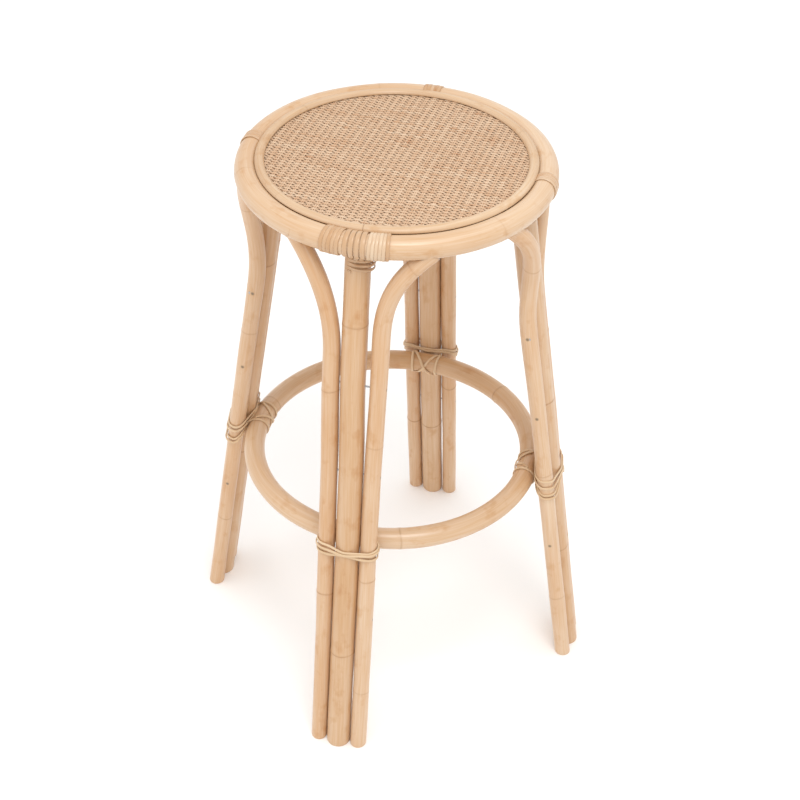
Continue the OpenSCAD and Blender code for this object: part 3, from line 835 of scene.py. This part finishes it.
# %% A strip of peel along any path
def strip(path, out, width, thick, tone, lot, loop=False, press=0.6):
    """Eight points round a flat oval: (w/2 cos a, t/2 sin a), with the cosine pressed
    outward (|cos a|^press) so that the strip is flat. out gives the surface's outward
    direction at each point."""
    if loop:
        heading = np.roll(path, -1, axis=0) - np.roll(path, 1, axis=0)
    else:
        heading = np.gradient(path, axis=0)
    heading /= np.linalg.norm(heading, axis=1)[:, None]
    out = out - heading * np.einsum("ij,ij->i", out, heading)[:, None]
    out /= np.linalg.norm(out, axis=1)[:, None]
    side = np.cross(heading, out)
    along = lengths(np.concatenate([path, path[:1]]))
    angle = np.linspace(0, 2 * np.pi, 8, endpoint=False) + math.pi / 8
    wide = np.sign(np.cos(angle)) * np.abs(np.cos(angle)) ** press * width / 2
    deep = np.sin(angle) * thick / 2
    grid = (path[:, None] + side[:, None] * wide[None, :, None]
            + out[:, None] * deep[None, :, None])
    around = np.linspace(0, 1, 9) * 2 * (width + thick)
    return shell(grid, along, around, loop=loop, tone=tone, ring=0.0, lot=lot)


def on_ring(ring_r, ring_z, tube, turn, angle):
    """A point on a tube of that radius round a level ring, and the way out of it: turn
    is the place round the stool, angle goes round the tube from straight out, upward."""
    out = np.stack([np.cos(angle) * np.cos(turn), np.cos(angle) * np.sin(turn),
                    np.sin(angle)], -1)
    mid = np.stack([ring_r * np.cos(turn), ring_r * np.sin(turn),
                    np.full_like(turn, ring_z)], -1)
    return mid + tube * out, out


# %% [markdown]
# ## Bindings round the seat ring
# Each is one strip wound like a screw thread round the ring, its turns side by side. The
# front binding is wide: its first turns are honey coloured, its last ones pale. In its
# middle, where the leg's top is in the way, four turns can't go under the ring, so they
# run down the outside of the pole and are held there by the leg's collar.

# %% One run of turns round the seat ring
def winding(middle, x_from, x_to, tones, seed):
    """A screw thread on the seat ring's tube. The strip starts and ends under the ring.
    With s from 0 to the number of turns, angle = -pi/2 + 2 pi s and the place along the
    ring runs evenly from x_from to x_to. tones has one value for each turn."""
    turns = len(tones)
    pitch = (x_to - x_from) / turns
    s = np.linspace(0, turns, turns * 34 + 1)
    x = x_from + pitch * (s * (turns - 1) / turns + 0.5)
    tube = seat_thick / 2 + TOUCH + PEEL / 2 + 0.12 * MM * np.sin(9 * s + seed)
    turn = math.radians(middle) + x / seat_r
    path, out = on_ring(seat_r, seat_z, tube[:, None], turn, -math.pi / 2 + 2 * math.pi * s)
    tone = np.array(tones)[np.minimum(s.astype(int), turns - 1)][:, None]
    return strip(path, out, abs(pitch) * 0.95, 1.35 * PEEL, tone, 7.7 * seed, press=0.8)


DOWN_FROM, DOWN_TO = 713, 703.5  # mm high, where such a turn lies on the pole


def turns_down(leg, x, width, tone, seed):
    """A turn that comes over the ring and runs down the outside of the middle pole.
    First it follows the ring's tube from its inner side over the top to just below the
    outside; then it leaves in a straight line for the pole's surface and follows it."""
    tube = seat_thick / 2 + TOUCH + PEEL / 2
    angle = np.radians(np.linspace(165, -48, 30))
    turn = math.radians(leg * 90 - 90) + np.full(30, x / seat_r)
    over, over_out = on_ring(seat_r, seat_z, tube, turn, angle)
    w = np.linspace(DOWN_FROM, DOWN_TO, 6) * MM / math.cos(lean)
    skin = pole_thick / 2 + TOUCH + PEEL * 0.5
    lie = np.clip(x / skin, -0.95, 0.95)
    y = -skin * math.sqrt(1 - lie**2)
    down = leg_to_stool(np.stack([np.full(6, x), np.full(6, y), w], -1), leg)
    flat = way_to_stool(np.array([[lie * skin, y, 0.0]]), leg)
    down_out = np.broadcast_to(flat / np.linalg.norm(flat), (6, 3))
    path = np.concatenate([over, down])
    out = np.concatenate([over_out, down_out])
    return strip(path, out, width, 1.3 * PEEL, tone, 3.3 * seed, press=0.8)


# %% Front binding: five turns, four that run down the leg, five pale turns and one more
front = [winding(270, -37.6 * MM, -10.7 * MM, [0.85, 0.7, 0.9, 0.75, 0.65], 1),
         winding(270, 14.1 * MM, 41.5 * MM, [0.05, -0.05, 0.1, 0.0, 0.1, 0.8], 2)]
for k, tone in enumerate((0.75, 0.6, 0.7, 0.62)):
    front.append(turns_down(0, (-7.6 + 6.2 * k) * MM, 5.9 * MM, tone, 3 + k))
piece("front_binding_turns", front, binding_peel, ["front_ring_binding"])

# %% Narrow bindings at the back and the sides: place in degrees, half width, tones
for name, middle, half, tones, seed in (("back", 90, 13.5, [0.75, 0.9, 0.7, 0.95, 0.8], 8),
                                        ("right", 0, 11, [0.35, 0.5, 0.4, 0.6], 9),
                                        ("left", 180, 11, [0.8, 0.7, 0.85, 0.6], 10)):
    turns = winding(middle, -half * MM, half * MM, tones, seed)
    piece(f"{name}_binding_turns", [turns], binding_peel,
          [f"{name}_ring_binding"])

# %% [markdown]
# ## Collars
# At the top of each middle pole a narrow strip is wound a little over three times round
# the pole. The turns are not quite level, they overlap a little, and the strip's end is
# tucked back under so that it pokes out at the side.

# %% A collar and its loose end
def collar(leg, seed):
    """A screw thread round the pole: angle = 2 pi s, height falling from the top by one
    pitch a turn, with a slow wave that tilts the turns; then a short end that leaves
    the pole sideways."""
    rng = np.random.default_rng(seed)
    low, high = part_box(f"{LEGS[leg]}_leg_collar")
    low_w = (low.z + pole_thick / 2 * math.sin(lean)) / math.cos(lean)
    high_w = (high.z - pole_thick / 2 * math.sin(lean)) / math.cos(lean)
    s = np.linspace(0, COLLAR_TURNS, 150)
    tilt = rng.uniform(0, 6.28)
    w = high_w - 1.6 * MM - (high_w - low_w + 0.6 * MM) * s / COLLAR_TURNS
    w = w + 0.9 * MM * np.sin(2 * np.pi * s + tilt) * np.cos(1.1 * s)
    skin = pole_thick / 2 + TOUCH + PEEL * (0.55 + 0.2 * np.sin(5 * s + tilt))
    a = 2 * np.pi * s + 2.4
    local = np.stack([skin * np.cos(a), skin * np.sin(a), w], -1)
    out = np.stack([np.cos(a), np.sin(a), np.zeros_like(a)], -1)
    wound = strip(leg_to_stool(local, leg), way_to_stool(out, leg), 3.3 * MM, 1.6 * MM,
                  0.75 + 0.1 * rng.normal(), 2.1 * seed, press=0.85)
    t = np.linspace(0, 1, 10)
    side = pole_thick / 2 + TOUCH + 1.1 * PEEL
    a = 0.55 - 0.75 * t
    local = np.stack([side * np.cos(a) + 2.2 * MM * t**2, -side * np.sin(a),
                      high_w - (9.0 - 4.5 * t) * MM], -1)
    out = np.stack([np.cos(a), -np.sin(a), 0 * t], -1)
    tail = strip(leg_to_stool(local, leg), way_to_stool(out, leg), 2.4 * MM, PEEL, 0.9,
                 1.3 * seed)
    return [wound, tail]


for leg, name in enumerate(LEGS):
    piece(f"{name}_collar_turns", collar(leg, 40 + leg), binding_peel,
          [f"{name}_leg_collar"])

# %% [markdown]
# ## Lashings
# A narrow strip ties the footrest to each leg. It goes round the leg's three poles,
# three times on the front and back legs and four times on the side legs, high beside the
# ring and lower across the outside. Loops go round the ring on both sides of the leg,
# and two strands cross on the ring's inner face. A belt follows the outline of three
# circles side by side with straight bridges between them.
# That outline is worked out by sampling: the largest reach of the three circles in each
# direction gives the tight outline, as a string pulled round the poles would lie.

# %% The outline round the three poles of a leg
def outline(grow, count=160):
    """The convex outline of three circles, grown by `grow`: for a direction a, the
    touching point is the centre of the circle that reaches furthest that way plus its
    radius along a. Points are then spread evenly along the outline."""
    a = np.linspace(-math.pi / 2, 1.5 * math.pi, 1441)
    way = np.stack([np.cos(a), np.sin(a)], -1)
    mids = np.array([[0, 0], [brace_side, 0], [-brace_side, 0]])
    radii = np.array([pole_thick, brace_thick, brace_thick]) / 2 + grow
    best = np.argmax(way @ mids.T + radii, axis=1)
    points = mids[best] + radii[best][:, None] * way
    gone = lengths(points)
    even = np.linspace(0, gone[-1], count, endpoint=False)
    x, y = (np.interp(even, gone, points[:, k]) for k in (0, 1))
    cos_a, sin_a = (np.interp(even, gone, way[:, k]) for k in (0, 1))
    return x, y, np.stack([cos_a, sin_a, np.zeros(count)], -1), even / gone[-1]


# %% A belt round the leg, heights given at stations round it
def belt(leg, heights, lift, tone, seed):
    """heights are (share of the way round, mm up the pole); share 0 is the middle of
    the outside, 0.5 the middle of the inside. Heights between stations follow a smooth
    curve through them (cosine steps)."""
    x, y, out, share = outline(TOUCH + lift)
    stations = np.array([h[0] for h in heights] + [1.0])
    values = np.array([h[1] for h in heights] + [heights[0][1]]) * MM
    seat = np.clip(np.searchsorted(stations, share, side="right") - 1, 0, len(heights) - 1)
    t = (share - stations[seat]) / (stations[seat + 1] - stations[seat])
    w = values[seat] + (values[seat + 1] - values[seat]) * (0.5 - 0.5 * np.cos(np.pi * t))
    path = leg_to_stool(np.stack([x, y, w], -1), leg)
    return strip(path, way_to_stool(out, leg), LASH_WIDE, LASH_THICK, tone, 1.9 * seed,
                 loop=True)


# %% Loops and crossings on the footrest ring
def loop_round(leg, x, slant, lift, tone, seed):
    """A closed turn round the footrest's tube at x along it, leaning by slant."""
    angle = np.linspace(0, 2 * np.pi, 48, endpoint=False)
    turn = math.radians(leg * 90 - 90) + (x + slant * np.sin(angle)) / rest_r
    path, out = on_ring(rest_r, rest_z, rest_thick / 2 + TOUCH + lift, turn, angle)
    return strip(path, out, LASH_WIDE, LASH_THICK, tone, 2.3 * seed, loop=True)


def crossing(leg, x_from, x_to, lift, hump, tone, seed):
    """A strand over the ring's inner face, from above the poles on one side to below
    the ring on the other: angle 75 to 268 degrees round the tube, x in a straight run.
    Halfway it rises by `hump`, to pass over the other strand."""
    t = np.linspace(0, 1, 40)
    angle = np.radians(75 + 193 * t)
    turn = math.radians(leg * 90 - 90) + (x_from + (x_to - x_from) * t) / rest_r
    tube = rest_thick / 2 + TOUCH + lift + hump * np.exp(-((t - 0.5) / 0.12) ** 2)
    path, out = on_ring(rest_r, rest_z, tube[:, None], turn, angle)
    return strip(path, out, 3.8 * MM, LASH_THICK, tone, 2.9 * seed)


# %% The four lashings
shares = (0, 0.14, 0.25, 0.36, 0.5, 0.64, 0.75, 0.86)
belt_heights = [(317, 317, 320, 327, 327, 328, 322, 319),
                (313, 314, 317, 325, 324, 325, 316, 314),
                (312, 307, 307, 323, 326, 324, 309, 308)]
FURTHER_DOWN = 5.0  # mm more for each belt of a side leg, where it crosses the braces
for leg, name in enumerate(LEGS):
    rng = np.random.default_rng(60 + leg)
    belts, spread = belt_heights, 0.0
    if name in ("right", "left"):
        belts, spread = [*belt_heights, belt_heights[2]], FURTHER_DOWN
    strands = []
    for k, heights in enumerate(belts):
        lower = [spread * k if 0.1 < abs(s - 0.5) < 0.5 else 0.0 for s in shares]
        stations = [(s, h + rng.normal(0, 0.8) - d) for s, h, d in zip(shares, heights, lower)]
        lift = (1.0 + (1.3 if k % 2 else 0.0)) * MM
        strands.append(belt(leg, stations, lift, 0.35 + 0.12 * k, 61 + 5 * leg + k))
    for side in (-1, 1):
        x = side * 18 * MM
        strands.append(loop_round(leg, x, 0.8 * side * MM, 1.0 * MM, 0.45, 81 + leg))
    strands.append(crossing(leg, -16 * MM, 16 * MM, 0.9 * MM, 0.0, 0.4, 91 + leg))
    strands.append(crossing(leg, 16 * MM, -16 * MM, 1.8 * MM, 0.9 * MM, 0.55, 96 + leg))
    piece(f"{name}_lashing_strands", strands, lash_peel, [f"{name}_lashing"])

# %% [markdown]
# ## Studio
# A pale floor that runs out of sight, a bright even sky of white light, a soft light
# above the front and a weaker, wider one from the left. The even light keeps the shadows
# faint, and the light above draws the long highlights along the poles. The camera stands
# well back and looks down at the stool by 40 degrees, a little from its right.

# %% Floor
def floor_material():
    """Matt white paper with a very faint mottle. It glows faintly in its own colour,
    which lifts the shadows and brings it near the brightness of the sky."""
    material, tree, shader = new_material("matt_white_paper", {
        "Roughness": 0.9, "Specular IOR Level": 0.1, "Emission Strength": 0.12})
    mottle = noise(tree, add(tree, "TexCoord").outputs["Object"], 4.0)
    colour = blend(tree, mottle, "#F4F3F1", "#F8F7F6")
    dress(tree, shader, colour)
    tree.links.new(colour, shader.inputs["Emission Color"])
    return material


FLOOR_HALF = 15.0
floor_mesh = bpy.data.meshes.new("studio_floor")
corners = np.array([[-1, -1, 0], [1, -1, 0], [1, 1, 0], [-1, 1, 0]]) * FLOOR_HALF
floor_mesh.from_pydata(corners.tolist(), [], [[0, 1, 2, 3]])
floor_mesh.materials.append(floor_material())
floor = in_scene("studio_floor", floor_mesh)
floor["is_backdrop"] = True

# %% Light
world = bpy.data.worlds.new("white_studio")
world.use_nodes = True
sky = world.node_tree.nodes["Background"]
sky.inputs["Color"].default_value = (1, 1, 1, 1)
sky.inputs["Strength"].default_value = 1.0
bpy.context.scene.world = world


def soft_light(name, place, target, size, power):
    """A square area light at `place`, turned so that its -Z looks at the target."""
    data = bpy.data.lights.new(name, "AREA")
    data.size, data.energy = size, power
    light = in_scene(name, data)
    light.location = place
    way = np.array(target) - np.array(place)
    away = -way / np.linalg.norm(way)
    side = np.cross([0, 0, 1], away)
    side /= np.linalg.norm(side)
    turn = np.stack([side, np.cross(away, side), away], 1)
    light.rotation_euler = Matrix(turn.tolist()).to_euler()


soft_light("key_softbox", (0.5, -0.9, 2.6), (0, 0, 0.5), 0.8, 19)
soft_light("fill_softbox", (-2.2, -1.2, 1.6), (0, 0, 0.4), 1.6, 5)
bpy.context.scene.view_settings.view_transform = "Standard"

# %% Camera
AZIMUTH, ELEVATION = math.radians(14.49), math.radians(39.83)
DISTANCE, AIM_HEIGHT, LENS = 2.0425, 0.3327, 68.85
PAN, TILT, ROLL = (math.radians(a) for a in (0.26, 1.01, 0.91))
back_way = np.array([math.sin(AZIMUTH) * math.cos(ELEVATION),
                     -math.cos(AZIMUTH) * math.cos(ELEVATION), math.sin(ELEVATION)])
eye = np.array([0, 0, AIM_HEIGHT]) + DISTANCE * back_way
ahead = -back_way
right_way = np.cross(ahead, UP)
right_way /= np.linalg.norm(right_way)
up_way = np.cross(right_way, ahead)


def tipped(one, other, angle):
    """Two square directions, both turned by the angle from the first to the second."""
    c, s = math.cos(angle), math.sin(angle)
    return one * c + other * s, other * c - one * s


ahead, right_way = tipped(ahead, right_way, PAN)
ahead, up_way = tipped(ahead, up_way, TILT)
right_way, up_way = tipped(right_way, up_way, ROLL)
camera_data = bpy.data.cameras.new("studio_camera")
camera_data.lens, camera_data.sensor_width = LENS, 36.0
camera = in_scene("studio_camera", camera_data)
pose = np.eye(4)
pose[:3, 0], pose[:3, 1], pose[:3, 2], pose[:3, 3] = right_way, up_way, -ahead, eye
camera.matrix_world = Matrix(pose.tolist())
bpy.context.scene.camera = camera
print("camera at", eye.round(3).tolist())

# %% [markdown]
# ## The size of the looks
# The box of everything shown, the floor left out, is printed in millimetres.

# %% The box of the looks
low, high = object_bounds()
print("visual box, mm:", [round(1000 * (b - a), 1) for a, b in zip(low, high)])
